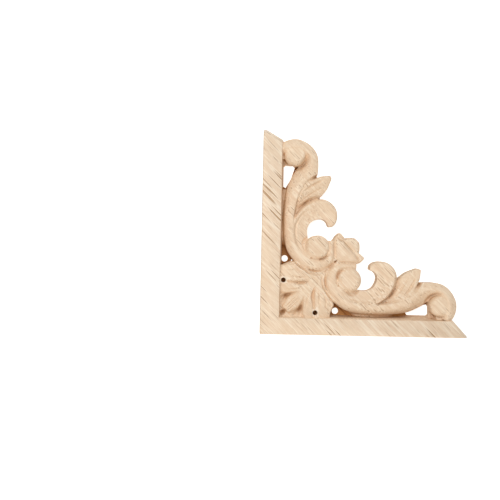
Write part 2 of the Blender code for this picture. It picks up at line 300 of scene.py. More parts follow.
for side, mirrored in ARMS:
    for name, height, outline in (
        ("shelf", SHELF, [(68.2, 5), (73.6, 5), (73.9, 7.0), (73.6, 8.6), (72.6, 10), (68.2, 10)]),
        ("step", STEP, [(65.5, 5), (68.4, 5), (68.4, 9.6), (66.2, 9.6), (65.6, 8.0)]),
        ("leaf_bed", BED,
         [(44, 12), (52, 12.4), (57, 15), (59.5, 20), (60, 23), (54.4, 23), (52, 20), (49, 15)]),
    ):
        forms.append(flat_shape(name, [on_arm(*point, mirrored) for point in outline], -BELOW, height))
print(len(forms), "flat forms")

# %% [markdown]
# ## The scroll, the hooked leaf and the pointed leaf
#
# The stem starts over the end volute, runs down along the ledge and winds up round the inner volute. A hooked
# leaf and a pointed leaf grow out of it.

# %% Scroll and leaves
SEAT = (33.6, 21.4, 5.0)  # along, up and radius of the round seat under the inner volute's eye
SEAT_SIDES = 40
SEAT_END = 38.0  # the seat is cut off straight here, inside the volute's outline
SEAT_TOP = 6.6
GROUND_DROP = 1.4  # how far the ground falls off towards the ledge

for side, mirrored in ARMS:
    forms.append(stroke(
        f"stem_{side}",
        ridge=[
            (72.0, 6.4), (72.8, 9.4), (72.9, 12.2), (72.0, 15.0), (69.2, 17.9), (65.2, 18.3), (61.2, 16.8),
            (56.6, 14.0), (50.3, 12.2), (44.2, 11.5), (38.2, 11.8), (33.2, 13.4), (29.8, 16.2), (28.0, 20.0),
            (28.0, 23.4), (29.6, 25.8), (32.4, 26.6), (36.8, 26.4),
        ],
        left=[2.0, 2.6, 3.0, 3.2, 3.6, 4.4, 5.2, 4.8, 4.1, 3.7, 3.6, 3.5, 3.2, 2.9, 2.6, 2.2, 1.9, 2.0],
        right=[1.7, 2.6, 3.0, 2.9, 2.7, 2.7, 3.8, 1.6, 1.0, 0.8, 0.8, 1.0, 1.3, 1.5, 1.5, 1.3, 1.1, 1.0],
        crest=[8.3, 8.7, 8.8, 8.7, 8.3, 8.0, 7.8, 7.7, 7.6, 7.5, 7.5, 7.6, 7.7, 7.9, 8.0, 8.0, 7.9, 7.6],
        feet=(
            [6.0, 6.0, 6.0, 5.4, 5.0, 4.6, 4.4, 4.4, 4.6, 4.6, 4.6, 5.0, 5.6, 6.0, 6.2, 6.2, 6.0, 5.8],
            [7.0, 7.2, 7.2, 7.2, 7.0, 6.8, 6.4, 6.0, 5.6, 5.6, 5.6, 6.0, 6.8, 7.2, 7.3, 7.2, 7.0, 6.8],
        ),
        bulges=(
            [1.0, 1.0, 0.8, 0.2, 0.0, -0.1, 0.3, 1.2, 2.0, 2.0, 2.0, 1.8, 1.6, 1.4, 1.4, 1.2, 1.2, 1.2],
            [0.6, 0.5, 0.5, 0.5, 0.5, 0.6, 0.7, 0.8, 0.8, 0.8, 0.8, 0.8, 0.8, 0.8, 0.8, 0.8, 0.8, 0.8],
        ),
        mirrored=mirrored,
    ))
    forms.append(stroke(
        f"hook_leaf_{side}",
        ridge=[
            (29.4, 18.0), (31.0, 15.2), (34.4, 13.0), (38.6, 11.9), (42.6, 11.8), (46.0, 13.4), (48.8, 16.0),
            (50.9, 19.2), (51.8, 22.6), (50.9, 25.4), (48.8, 27.4), (45.8, 28.0), (43.6, 27.4), (42.6, 26.6),
        ],
        left=[
            (31.9, 20.0), (33.2, 18.6), (36.4, 17.9), (39.2, 17.3), (41.6, 17.4), (43.4, 18.3), (44.5, 19.8),
            (45.1, 21.4), (45.2, 22.7), (44.8, 23.8), (44.1, 24.6), (43.5, 25.0), (42.8, 25.2), (42.2, 25.6),
        ],
        right=[0.5, 0.6, 0.7, 0.8, 0.8, 1.0, 1.2, 1.2, 1.1, 1.0, 0.9, 0.8, 0.7, 0.5],
        crest=[7.6, 7.5, 7.4, 7.4, 7.4, 7.3, 7.3, 7.3, 7.2, 7.1, 7.0, 6.8, 6.6, 6.3],
        feet=(
            [7.2, 6.9, 6.3, 5.8, 5.6, 5.6, 5.7, 5.8, 5.9, 6.0, 6.0, 6.0, 5.9, 5.8],
            [5.2, 5.2, 5.2, 5.2, 5.2, 5.2, 5.6, 6.0, 6.1, 6.1, 6.0, 5.9, 5.7, 5.5],
        ),
        bulges=([-0.2, -0.6, -1.2, -1.5, -1.3, -1.0, -0.7, -0.5, -0.3, 0.0, 0.3, 0.5, 0.6, 0.8], 0.9),
        mirrored=mirrored,
    ))
    forms.append(stroke(
        f"leaf_{side}",
        ridge=[(53.6, 13.6), (57.2, 16.3), (59.5, 19.2), (61.0, 22.2), (61.9, 25.9)],
        left=[(49.6, 13.6), (52.0, 18.0), (53.3, 21.2), (56.0, 24.2), (60.9, 26.4)],
        right=[0.9, 0.9, 0.8, 0.7, 0.3],
        crest=[7.2, 7.3, 7.3, 7.0, 6.4],
        feet=([4.8, 4.8, 5.0, 5.4, 5.6], [4.6, 4.6, 5.0, 5.4, 5.6]),
        bulges=([0.5, 0.2, 0.1, 0.4, 0.8], 0.8),
        mirrored=mirrored,
    ))
    # the ground between the stem and the ledge falls off to a dark gap, on the lower arm at both ends
    crest = [0.9, 3.4, 5.0, 5.2, 5.0, 4.8, 4.6, 4.2] if mirrored else [0.9, 3.4, 5.0, 5.2, 4.6, 3.8, 2.4, 1.0]
    forms.append(stroke(
        f"ground_{side}",
        ridge=[
            (34.2, 9.6), (36.2, 9.6), (39.0, 9.4), (43.0, 9.4), (47.0, 9.4), (50.5, 9.6), (53.0, 9.8),
            (56.5, 10.0),
        ],
        left=[0.5] * 8, right=[2.6, 2.6, 2.4, 2.4, 2.4, 2.6, 2.8, 3.0], crest=crest,
        feet=(0.5, [max(0.7, value - GROUND_DROP) for value in crest]), bulges=(0.5, 0.2), mirrored=mirrored,
    ))
    forms.append(stroke(
        f"sill_{side}", ridge=[(50.0, 6.0), (58.0, 6.0), (67.0, 6.0)], left=[0.6, 2.0, 2.0],
        right=[0.5, 0.5, 0.5], crest=[8.0, 8.4, 8.4], feet=(0.4, 4.0), bulges=(-0.1, 0.5), mirrored=mirrored,
    ))
    forms.append(eye(f"end_eye_{side}", (69.7, 12.0), 4.3, 6.4, mirrored))
    forms.append(eye(f"inner_eye_{side}", (34.2, 21.3), 4.6, 7.0, mirrored))
    seat = [on_arm(min(along, SEAT_END), up, mirrored) for along, up in ring(*SEAT, SEAT_SIDES)]
    forms.append(flat_shape("seat", seat, -BELOW, SEAT_TOP))
print(len(forms), "forms so far")

# %% [markdown]
# ## The palmette and the bud
#
# Five lobes fan out of the inner corner, and a bud grows the other way, between the two scrolls. The middle
# lobe and the bud's body lie on the diagonal, so they are made once.

# %% Palmette and bud
for side, mirrored in ARMS:
    for name, ridge, left, right, crest, feet, bulge in (
        ("bud_side", [(27.6, 28.6), (30.6, 29.6), (33.6, 29.9), (36.6, 29.7), (38.6, 29.8), (39.9, 29.9)],
         [0.6, 3.0, 3.8, 2.9, 1.6, 0.3], [0.5, 1.8, 2.4, 2.2, 1.5, 0.3], [6.8, 7.4, 7.6, 7.4, 7.0, 6.4],
         (6.4, 6.0), 1.8),
        ("lobe_outer", [(23.0, 22.0), (22.9, 17.5), (23.8, 13.0), (24.4, 6.3)],
         [0.9, 2.2, 3.6, 2.6], [0.7, 2.0, 3.2, 3.4], [7.3, 7.3, 7.2, 6.8], (6.4, 6.4), 3.0),
        ("lobe_rim", [(25.4, 16.0), (28.0, 12.2), (27.2, 9.8), (26.0, 6.3)],
         [0.7, 0.8, 0.7, 0.6], [0.8, 0.8, 0.8, 0.8], [7.0, 7.2, 7.0, 6.6], (5.4, 5.4), 1.0),
        ("lobe_inner", [(22.0, 20.4), (19.4, 16.5), (18.5, 12.5), (18.8, 6.3)],
         [0.7, 1.2, 2.2, 1.9], [0.7, 1.5, 2.2, 2.0], [7.1, 7.2, 7.0, 6.7], (6.2, 6.2), 2.6),
        ("fillet", [(24.6, 24.4), (24.2, 21.0), (25.0, 17.2), (26.6, 14.8)],
         [0.7, 0.7, 0.7, 0.5], [0.6, 0.6, 0.6, 0.4], [7.2, 7.1, 7.1, 6.8], (5.6, 5.6), 1.0),
    ):
        forms.append(stroke(f"{name}_{side}", ridge, left, right, crest, feet, (bulge, bulge), mirrored))
for name, middle, half, crest, foot, bulge in (
    ("lobe_middle", (22.6, 17.0, 12.8, 9.6), (0.8, 2.2, 3.0, 1.9), (7.2, 7.3, 7.1, 6.6), 6.0, 2.4),
    ("hub", (20.6, 23.0, 26.0), (1.6, 1.9, 1.2), (7.0, 7.1, 6.8), 6.2, 2.0),
    ("bud_body", (27.8, 30.6, 33.0, 34.6), (1.2, 3.4, 5.0, 4.2), (7.0, 7.8, 7.8, 7.0), 6.2, 1.4),
    ("bud_petal", (33.0, 35.2, 36.9), (3.4, 3.7, 1.4), (6.8, 7.0, 6.6), 5.8, 2.0),
):
    middle = [on_diagonal(value) for value in middle]
    forms.append(stroke(name, middle, half, half, crest, (foot, foot), (bulge, bulge)))
print(len(forms), "forms in all")

# %% [markdown]
# ## One skin over all the forms
#
# The forms overlap as the clay of a sculptor's sketch does. A voxel remesh runs one skin over them all, and a
# few rounds of smoothing leave the small hollow fillets that a ball-nosed cutter leaves where two forms meet.

# %% Skin
VOXEL = 0.17  # mm
SMOOTHING_ROUNDS = 7


def work_in(thing):
    """Works the modifiers into the mesh, as Apply does."""
    graph = bpy.context.evaluated_depsgraph_get()
    data = bpy.data.meshes.new_from_object(thing.evaluated_get(graph))
    thing.modifiers.clear()
    thing.data = data


def with_modifier(thing, kind, **values):
    step = thing.modifiers.new(kind.lower(), kind)
    for name, value in values.items():
        setattr(step, name, value)
    work_in(thing)


def joined(name, meshes):
    mesh = bmesh.new()
    for data in meshes:
        mesh.from_mesh(data)
        bpy.data.meshes.remove(data)
    data = bpy.data.meshes.new(name)
    mesh.to_mesh(data)
    mesh.free()
    return new_object(name, data)


carving = joined("carving", forms)
with_modifier(carving, "REMESH", mode="VOXEL", voxel_size=VOXEL * MM)
with_modifier(carving, "SMOOTH", factor=0.5, iterations=SMOOTHING_ROUNDS)
print("skin:", len(carving.data.polygons), "faces")

# %% [markdown]
# ## Creases, pockets and veins
#
# Once the volumes are there, a carver cuts the lines: the groove round each eye, the folds between the lobes
# and the veins of the leaves. Each line is a curve with a width and a depth at each of its points. A Geometry
# Nodes tree finds, for every point of the skin, the nearest point of the lines, and pushes the skin back by that
# point's depth, less and less towards the line's width.

# %% Lines
LINE_STEP = 0.12  # mm between the points of a line

CREASES = [
    # points as (along, up, width, depth)
    # round the end volute's eye, from the triangle
    [(64.2, 12.4, 0.9, 0.8), (65.0, 14.0, 1.4, 1.1), (66.4, 15.4, 1.5, 1.4), (68.2, 16.3, 1.3, 1.1),
     (69.8, 16.7, 0.8, 0.3)],
    # round the inner volute's eye
    [(32.0, 25.8, 0.7, 0.15), (30.6, 25.0, 0.9, 0.35), (29.7, 23.5, 1.0, 0.55), (29.8, 21.8, 1.1, 0.55),
     (30.6, 19.9, 1.1, 0.5), (31.9, 18.1, 1.0, 0.45), (33.6, 16.7, 1.3, 0.7), (35.6, 16.2, 1.5, 0.9),
     (37.3, 17.0, 1.2, 1.0), (38.4, 18.2, 0.7, 0.4)],
    # between the hooked leaf and the pointed one
    [(46.0, 12.6, 0.5, 0.1), (48.4, 13.8, 0.7, 0.4), (49.8, 15.0, 0.9, 0.8), (51.0, 16.4, 1.1, 1.3),
     (52.0, 18.2, 1.5, 1.0), (52.7, 20.6, 1.8, 0.8), (53.0, 23.4, 1.4, 0.6)],
    # between the hooked leaf and the stem
    [(46.6, 12.3, 0.5, 0.2), (50.0, 12.8, 0.6, 0.4), (52.6, 13.5, 0.6, 0.4), (54.2, 14.2, 0.4, 0.2)],
    # the notch between the pointed leaf and the stem
    [(57.8, 15.4, 0.5, 0.3), (59.6, 17.3, 0.8, 0.6), (60.6, 18.8, 0.9, 1.2), (61.4, 20.0, 0.9, 3.2),
     (62.0, 21.0, 0.8, 4.4), (62.4, 22.0, 0.6, 4.4)],
    # beside the pointed leaf's rim, and its vein
    [(55.6, 15.4, 0.4, 0.2), (57.2, 17.6, 0.7, 0.6), (58.8, 20.2, 0.7, 0.6), (60.0, 22.8, 0.5, 0.3)],
    [(52.6, 15.4, 0.4, 0.2), (55.0, 18.8, 0.5, 0.35), (57.0, 22.2, 0.4, 0.2)],
    # under the rim of the hooked leaf's dish
    [(32.4, 15.4, 0.5, 0.1), (35.6, 13.6, 0.7, 0.35), (39.6, 12.7, 0.7, 0.45), (43.0, 13.0, 0.7, 0.4),
     (46.4, 15.0, 0.6, 0.25), (48.6, 18.0, 0.5, 0.1)],
    # double line between the scroll and the palmette
    [(23.7, 24.0, 0.5, 0.3), (23.5, 21.0, 0.55, 0.45), (24.2, 18.4, 0.55, 0.6), (25.7, 15.9, 0.6, 1.2),
     (27.9, 13.0, 0.6, 1.5), (29.0, 11.6, 0.5, 1.5)],
    [(25.4, 24.4, 0.4, 0.2), (25.0, 21.4, 0.45, 0.35), (25.3, 18.9, 0.45, 0.4), (26.2, 17.2, 0.4, 0.2)],
    # under the bud's side
    [(29.4, 28.5, 0.6, 0.25), (32.0, 28.0, 0.9, 0.3), (35.0, 27.8, 0.9, 0.3), (37.0, 28.0, 0.5, 0.2)],
    # behind the bud's curled tip
    [(36.4, 31.4, 0.6, 0.5), (37.0, 30.4, 0.8, 0.9), (37.9, 29.0, 0.6, 0.5)],
    # between the palmette's lobes
    [(20.9, 18.2, 0.4, 0.3), (20.3, 16.0, 0.9, 0.9), (20.2, 14.2, 1.0, 1.1), (20.6, 12.2, 0.7, 0.6),
     (21.0, 10.0, 0.5, 0.4)],
    [(16.8, 14.4, 0.4, 0.2), (16.4, 12.4, 0.8, 0.6), (15.8, 10.8, 1.1, 1.4), (15.3, 9.5, 1.3, 2.3),
     (14.4, 8.2, 1.6, 1.3), (13.2, 7.4, 1.3, 0.6)],
    # veins of the outer, the inner and the middle lobe
    [(22.4, 17.6, 0.4, 0.2), (22.6, 14.0, 0.55, 0.45), (23.2, 10.6, 0.5, 0.2)],
    [(24.3, 16.0, 0.4, 0.2), (25.4, 12.8, 0.55, 0.45), (25.2, 10.0, 0.5, 0.2)],
    [(18.6, 15.4, 0.4, 0.2), (17.9, 12.6, 0.5, 0.45), (17.8, 10.2, 0.5, 0.2)],
    [(15.0, 13.4, 0.4, 0.2), (12.8, 11.2, 0.5, 0.5), (11.0, 9.4, 0.5, 0.3)],
]
DIAGONAL_CREASES = [
    # points as (along and up, width, depth)
    [(29.1, 0.6, 1.0), (28.7, 0.7, 2.0), (28.1, 0.9, 0.8), (26.6, 1.3, 0.8), (25.2, 1.3, 0.8), (24.0, 0.8, 0.3)],
    [(14.4, 0.4, 0.2), (12.4, 0.5, 0.5), (10.6, 0.5, 0.4)],
    [(9.6, 0.9, 0.4), (8.7, 1.3, 1.9), (7.8, 1.2, 1.4)],
]
# between the bud's body and its petal, from one side curl to the other
BUD_CREASE = [(37.2, 31.0, 0.7, 0.5), (34.4, 33.4, 0.9, 0.8), (33.4, 34.4, 0.9, 0.8), (31.0, 37.2, 0.7, 0.5)]


def line_object(name, lines):
    """The lines as one object of edges in the plane of the back, with each point's width and depth."""
    spots, pairs, sizes = [], [], []
    for line in lines:
        values = np.array(line, float)
        knots = knots_of(values[:, :2])
        at = np.arange(0, knots[-1], LINE_STEP)
        rows = smooth(values, knots, at)
        pairs += [(len(spots) + i, len(spots) + i + 1) for i in range(len(rows) - 1)]
        spots += [place(along, up, 0) for along, up in rows[:, :2]]
        sizes += list(rows[:, 2:] * MM)
    data = bpy.data.meshes.new(name)
    data.from_pydata(spots, pairs, [])
    for column, attribute in enumerate(("width", "depth")):
        layer = data.attributes.new(attribute, "FLOAT", "POINT")
        layer.data.foreach_set("value", np.array(sizes)[:, column].astype(np.float32))
    return new_object(name, data)


lines = []
for side, mirrored in ARMS:
    for crease in CREASES:
        lines.append([(*on_arm(along, up, mirrored), width, depth) for along, up, width, depth in crease])
for crease in DIAGONAL_CREASES:
    lines.append([(*on_diagonal(value), width, depth) for value, width, depth in crease])
lines.append(BUD_CREASE)
line_marks = line_object("line_marks", lines)
print(len(lines), "lines")

# %% [markdown]
# The tree reads the skin's position with its height taken out, so that a line works at whatever height the
# skin has there.

# %% The tree that presses the lines into the skin
AFTER_PRESSING = 2  # rounds of smoothing once the lines are in


def add(tree, kind, sockets=None, **settings):
    """A new node; sockets maps an input's name or number to a value, or to the output that feeds it."""
    node = tree.nodes.new(kind)
    for name, value in settings.items():
        setattr(node, name, value)
    for key, value in (sockets or {}).items():
        socket = node.inputs[key]
        if isinstance(value, bpy.types.NodeSocket):
            tree.links.new(value, socket)
        else:
            socket.default_value = (*value, 1) if socket.type == "RGBA" else value
    return node


def math(tree, operation, *values, clamp=False):
    return add(tree, "ShaderNodeMath", dict(enumerate(values)), operation=operation, use_clamp=clamp).outputs[0]


def vectors(tree, operation, *values):
    node = add(tree, "ShaderNodeVectorMath", dict(enumerate(values)), operation=operation)
    return node.outputs["Value" if operation == "DOT_PRODUCT" else "Vector"]


def ramp(tree, *values):
    """values: what is read, its low and high end, and what comes out there if that isn't 0 and 1."""
    return add(tree, "ShaderNodeMapRange", dict(enumerate(values)), interpolation_type="SMOOTHSTEP").outputs[0]


def node_group(kind, name, inputs, outputs):
    """A node group; inputs and outputs are (name, kind of socket, and a default where it has one)."""
    group = bpy.data.node_groups.new(name, kind)
    for way, sockets in (("INPUT", inputs), ("OUTPUT", outputs)):
        for socket_name, socket_kind, *default in sockets:
            socket = group.interface.new_socket(socket_name, in_out=way, socket_type="NodeSocket" + socket_kind)
            if default:
                socket.default_value = default[0]
    start = add(group, "NodeGroupInput")
    end = add(group, "NodeGroupOutput")
    return group, start.outputs, end.inputs


def with_nodes(thing, tree, **values):
    """Works a Geometry Nodes tree into the mesh, with these values for its inputs."""
    step = thing.modifiers.new("nodes", "NODES")
    step.node_group = tree
    for socket in tree.interface.items_tree:
        name = socket.name.lower().replace(" ", "_")
        if name in values:
            step[socket.identifier] = values[name]
    work_in(thing)


def press_tree():
    tree, given, gives = node_group(
        "GeometryNodeTree", "press lines", [("Geometry", "Geometry"), ("Lines", "Object")],
        [("Geometry", "Geometry")],
    )
    marks = add(tree, "GeometryNodeObjectInfo", {"Object": given["Lines"]}, transform_space="RELATIVE")
    marks = marks.outputs["Geometry"]
    flat = vectors(tree, "MULTIPLY", add(tree, "GeometryNodeInputPosition").outputs[0], (1, 0, 1))
    near = add(tree, "GeometryNodeProximity", {0: marks, "Sample Position": flat}, target_element="EDGES")
    index = add(tree, "GeometryNodeSampleNearest", {"Geometry": marks, "Sample Position": flat}).outputs["Index"]
    read = {}
    for name in ("width", "depth"):
        named = add(tree, "GeometryNodeInputNamedAttribute", {"Name": name}, data_type="FLOAT")
        sample = add(tree, "GeometryNodeSampleIndex",
                     {"Geometry": marks, "Value": named.outputs["Attribute"], "Index": index}, data_type="FLOAT")
        read[name] = sample.outputs["Value"]
    depth = ramp(tree, near.outputs["Distance"], 0.0, read["width"], read["depth"], 0.0)
    push = add(tree, "ShaderNodeCombineXYZ", {"Y": depth})
    move = add(tree, "GeometryNodeSetPosition", {"Geometry": given["Geometry"], "Offset": push.outputs[0]})
    tree.links.new(move.outputs[0], gives["Geometry"])
    return tree


with_nodes(carving, press_tree(), lines=line_marks)
bpy.data.objects.remove(line_marks)
with_modifier(carving, "SMOOTH", factor=0.5, iterations=AFTER_PRESSING)
print("pressed:", len(carving.data.vertices), "points")

# %% [markdown]
# ## The ledges
#
# Each ledge keeps the board's full thickness. Its inner wall leans back a little, as a tapered cutter leaves
# it, and its mitred end has a wide eased edge, where the sander took the splinters off. The ledges are one
# solid, lofted from the back to the face through outlines that draw in towards the top.

# %% Ledges
LOWER_FACE = 6.3  # width of the lower ledge's front
UPRIGHT_FACE = 7.2
DRAFT = 1.1  # how much wider each ledge is at the back
LOWER_END_CUT = 6.3
UPRIGHT_END_CUT = 4.1
LOWER_BLUNT = 0.6
UPRIGHT_BLUNT = 1.2
EASED = 1.6  # how far the eased edge of an end reaches in, and down
ARRIS = 0.15  # rounding of the other edges


def ledge_outline(height):
    lower = LOWER_FACE + DRAFT * (BOARD - height) / BOARD
    upright = UPRIGHT_FACE + DRAFT * (BOARD - height) / BOARD
    edge = max(0.0, height - BOARD + ARRIS)
    shorter = max(0.0, height - BOARD + EASED)
    lower, upright = lower - edge, upright - edge
    lower_leg, upright_leg = LOWER_LEG - shorter, UPRIGHT_LEG - shorter
    return [
        (edge, edge),
        (lower_leg, edge),
        (lower_leg, LOWER_BLUNT),
        (lower_leg - LOWER_END_CUT * lower / (LOWER_FACE + DRAFT), lower),
        (upright, lower),
        (upright, upright_leg - UPRIGHT_END_CUT * upright / (UPRIGHT_FACE + DRAFT)),
        (UPRIGHT_BLUNT, upright_leg),
        (edge, upright_leg),
    ]


heights = [-BELOW, BOARD - EASED, BOARD - ARRIS, BOARD]
ledge_sections = [[(*point, height) for point in ledge_outline(height)] for height in heights]
onlay = joined("onlay", [solid_of("ledges", ledge_sections)])
print("ledges:", len(onlay.data.polygons), "faces")

# %% [markdown]
# ## Openings and the flat back
#
# A long triangle is open between each ledge and the stem's start, a round hole goes through where the stem
# turns away from the ledge, and a blind pit sits beside each ledge. The cuts are Booleans with the Manifold
# solver, which is quick on a dense closed skin.

# %% Cuts
TRIANGLE = [(57.3, 8.7), (57.9, 7.8), (65.4, 7.8), (66.1, 8.5), (66.0, 11.5), (65.3, 12.2), (61.0, 10.8)]
HOLE = (29.6, 8.9, 1.25, -2 * BELOW)  # along, up, radius, floor
PIT = (21.3, 8.4, 0.95, 1.5)
HOLE_SIDES = 40
ABOVE = BOARD + BELOW
BEHIND = 12.0  # deeper than anything that the lines have pushed through the back
MARGIN = 10  # how far the block that planes the back reaches past the onlay


def boolean(thing, other, operation):
    other.hide_render = True
    with_modifier(thing, "BOOLEAN", object=other, operation=operation, solver="MANIFOLD")
    bpy.data.objects.remove(other)


cuts = []
for side, mirrored in ARMS:
    cuts.append(flat_shape("triangle", [on_arm(*point, mirrored) for point in TRIANGLE], -2 * BELOW, ABOVE))
    for along, up, radius, floor in (HOLE, PIT):
        circle = ring(*on_arm(along, up, mirrored), radius, HOLE_SIDES)
        cuts.append(flat_shape("hole", circle, floor, ABOVE))
right, top = LOWER_LEG + MARGIN, UPRIGHT_LEG + MARGIN
all_round = [(-MARGIN, -MARGIN), (right, -MARGIN), (right, top), (-MARGIN, top)]
boolean(onlay, carving, "UNION")
boolean(onlay, joined("cuts", cuts), "DIFFERENCE")
boolean(onlay, joined("behind", [flat_shape("behind", all_round, -BEHIND, 0)]), "DIFFERENCE")
onlay.data.update()
print("onlay:", len(onlay.data.polygons), "faces")

# %% [markdown]
# ## Down to a size that travels
#
# The skin has far more faces than its forms need. Decimate takes away the ones that lie flattest.

# %% Fewer faces
MOST_TRIANGLES = 180_000
SHARP = 50.0  # degrees between two faces whose edge stays crisp

onlay.data.calc_loop_triangles()
triangles = len(onlay.data.loop_triangles)
if triangles > MOST_TRIANGLES:
    with_modifier(onlay, "DECIMATE", ratio=MOST_TRIANGLES / triangles)
mesh = bmesh.new()
mesh.from_mesh(onlay.data)
loose = [vert for vert in mesh.verts if not vert.link_faces]
bmesh.ops.delete(mesh, geom=loose, context="VERTS")
mesh.to_mesh(onlay.data)
mesh.free()
onlay.data.shade_smooth()
onlay.data.set_sharp_from_angle(angle=radians(SHARP))
print("after Decimate:", len(onlay.data.polygons), "faces, from", triangles)

# %% [markdown]
# ## Where the wood is sheltered
#
# The bottom of a hollow is painted darker and browner than its rim: this is painted shade. The shader can't see
# how sheltered a place is, so a Geometry Nodes tree measures it first. From each point of the surface it sends
# rays in directions spread evenly over a sphere, and counts those that hit the onlay again, each one by how
# squarely it leaves the surface. A second measure, the blurred height less the height, finds the thin creases,
# which get painted shade, and with the other sign the crests, which are painted paler. A third marks the floors
# of the deep pockets, for more painted shade, and a fourth all that was cut below the face.

# %% The tree that measures shelter
RAYS = 48
RAY_LENGTH = 0.02
RAY_LIFT = 0.0001  # how far above the surface a ray starts
SHELTER_BLUR = 3
CREASE_BLUR = 12
FLAT_FRONT = BOARD - 0.25  # a place above this height is on a ledge's flat front
# heights for the painted shade on the floors of the deep pockets
DEEP = (1.2, 4.2)  # the floor of a pocket is dark up to the first height, and fades out by the second
FRONT = (0.15, 0.6)  # from barely to wholly carved, by how squarely a place faces the front
MARKS = ("shelter", "crease", "floor", "cut")


def even_directions(count):
    """Directions spread evenly over a sphere, on a spiral that turns by the golden angle."""
    golden = pi * (3 - 5**0.5)
    for i in range(count):
        lift = 1 - (2 * i + 1) / count
        across = (1 - lift * lift) ** 0.5
        yield (across * cos(golden * i), lift, across * sin(golden * i))


def blurred(tree, value, rounds):
    node = add(tree, "GeometryNodeBlurAttribute", {"Value": value, "Iterations": rounds}, data_type="FLOAT")
    return node.outputs[0]


def measuring_tree():
    tree, given, gives = node_group(
        "GeometryNodeTree", "measure shelter",
        [("Geometry", "Geometry"), ("Ray length", "Float"), ("Crease blur", "Int")], [("Geometry", "Geometry")],
    )
    geometry = given["Geometry"]
    position = add(tree, "GeometryNodeInputPosition").outputs[0]
    normal = add(tree, "GeometryNodeInputNormal").outputs[0]
    lifted = vectors(tree, "MULTIPLY_ADD", normal, (RAY_LIFT, RAY_LIFT, RAY_LIFT), position)
    hits, sent = 0.0, 0.0
    for direction in even_directions(RAYS):
        weight = math(tree, "MAXIMUM", vectors(tree, "DOT_PRODUCT", normal, direction), 0.0)
        ray = add(tree, "GeometryNodeRaycast", {
            "Target Geometry": geometry, "Source Position": lifted, "Ray Direction": direction,
            "Ray Length": given["Ray length"],
        })
        hits = math(tree, "MULTIPLY_ADD", ray.outputs["Is Hit"], weight, hits)
        sent = math(tree, "ADD", weight, sent)
    parts = add(tree, "ShaderNodeSeparateXYZ", {0: position})
    height = math(tree, "MULTIPLY", parts.outputs["Y"], -1 / MM)
    around = blurred(tree, height, given["Crease blur"])
    cut = math(tree, "LESS_THAN", height, FLAT_FRONT)
    carved = math(tree, "MULTIPLY", cut, ramp(tree, vectors(tree, "DOT_PRODUCT", normal, (0, -1, 0)), *FRONT))
    for name, value in zip(MARKS, (
        blurred(tree, math(tree, "DIVIDE", hits, sent), SHELTER_BLUR),
        math(tree, "MULTIPLY", math(tree, "SUBTRACT", around, height), carved),
        math(tree, "MULTIPLY", carved, ramp(tree, height, *DEEP, 1.0, 0.0)),
        cut,
    )):
        values = {"Geometry": geometry, "Name": name, "Value": value}
        node = add(tree, "GeometryNodeStoreNamedAttribute", values, data_type="FLOAT", domain="POINT")
        geometry = node.outputs["Geometry"]
    tree.links.new(geometry, gives["Geometry"])
    return tree


with_nodes(onlay, measuring_tree(), ray_length=RAY_LENGTH, crease_blur=CREASE_BLUR)
for name in MARKS:
    values = np.empty(len(onlay.data.vertices), np.float32)
    onlay.data.attributes[name].data.foreach_get("value", values)
    print(name, "at 5, 50 and 95 percent:", np.percentile(values, (5, 50, 95)).round(2))

# %% [markdown]
# ## Pieces of a wood
#
# The grain runs at 45 degrees to the ledges, parallel to the long side of the triangle that the onlay fills.
# All the patterns read the onlay's own coordinates, turned so that their X runs along the grain and counted in
# millimetres. Each effect is a node group with named inputs, so that another wood, or another part, can take it
# with other values.

# %% Helpers for the shader groups
def stretch(tree, vector, length, width):
    """The vector divided by a length along the grain and by a width across it."""
    size = add(tree, "ShaderNodeCombineXYZ", {0: length, 1: width, 2: width})
    return vectors(tree, "DIVIDE", vector, size.outputs[0])


def mixed(tree, share, first, second, blend="MIX"):
    node = add(tree, "ShaderNodeMix", {0: share, 6: first, 7: second}, data_type="RGBA", blend_type=blend)
    return node.outputs[2]


print("helpers ready")

# %% [markdown]
# Fibres are long soft streaks. A noise texture that is squeezed across the grain and drawn out along it gives
# them, at any width: the same group makes the hair-thin fibres, the streaks and the broad growth bands.

# %% Group: streaks along the grain
streaks, given, gives = node_group(
    "ShaderNodeTree", "streaks",
    [("Vector", "Vector"), ("Length", "Float", 10.0), ("Width", "Float", 0.5), ("Detail", "Float", 2.0)],
    [("Streak", "Float")],
)
noise = add(streaks, "ShaderNodeTexNoise", {
    "Vector": stretch(streaks, given["Vector"], given["Length"], given["Width"]), "Scale": 1.0,
    "Detail": given["Detail"], "Roughness": 0.55,
})
streaks.links.new(ramp(streaks, noise.outputs["Fac"], 0.3, 0.7), gives["Streak"])
print("streaks: ready")

# %% [markdown]
# This wood has large vessels, cut open as short brown scratches. A Voronoi texture puts one point in each cell.
# Where the cells are drawn out along the grain, the places near a point form a thin spindle, which shows as a
# dash on a flat face and as a dot where a surface cuts it across. The cell's own colour varies their size.

# %% Group: vessels
SPINDLES = (0.25, 1.4)  # the thinnest and the thickest vessel, as shares of the size
CORE = 0.5  # a vessel is dark up to this share of its reach
HALO = 1.9  # and the wood beside it is pale up to this one
vessels, given, gives = node_group(
    "ShaderNodeTree", "vessels",
    [("Vector", "Vector"), ("Cell length", "Float", 14.0), ("Cell width", "Float", 0.9),
     ("Size", "Float", 0.2)],
    [("Vessel", "Float"), ("Beside", "Float")],
)
cells = add(
    vessels, "ShaderNodeTexVoronoi",
    {"Vector": stretch(vessels, given["Vector"], given["Cell length"], given["Cell width"]), "Scale": 1.0},
)
luck = add(vessels, "ShaderNodeSeparateColor", {0: cells.outputs["Color"]}).outputs[0]
reach = math(vessels, "MULTIPLY", given["Size"], ramp(vessels, luck, 0.0, 1.0, *SPINDLES))
inner, outer = math(vessels, "MULTIPLY", reach, CORE), math(vessels, "MULTIPLY", reach, HALO)
line = ramp(vessels, cells.outputs["Distance"], inner, reach, 1.0, 0.0)
halo = ramp(vessels, cells.outputs["Distance"], reach, outer, 1.0, 0.0)
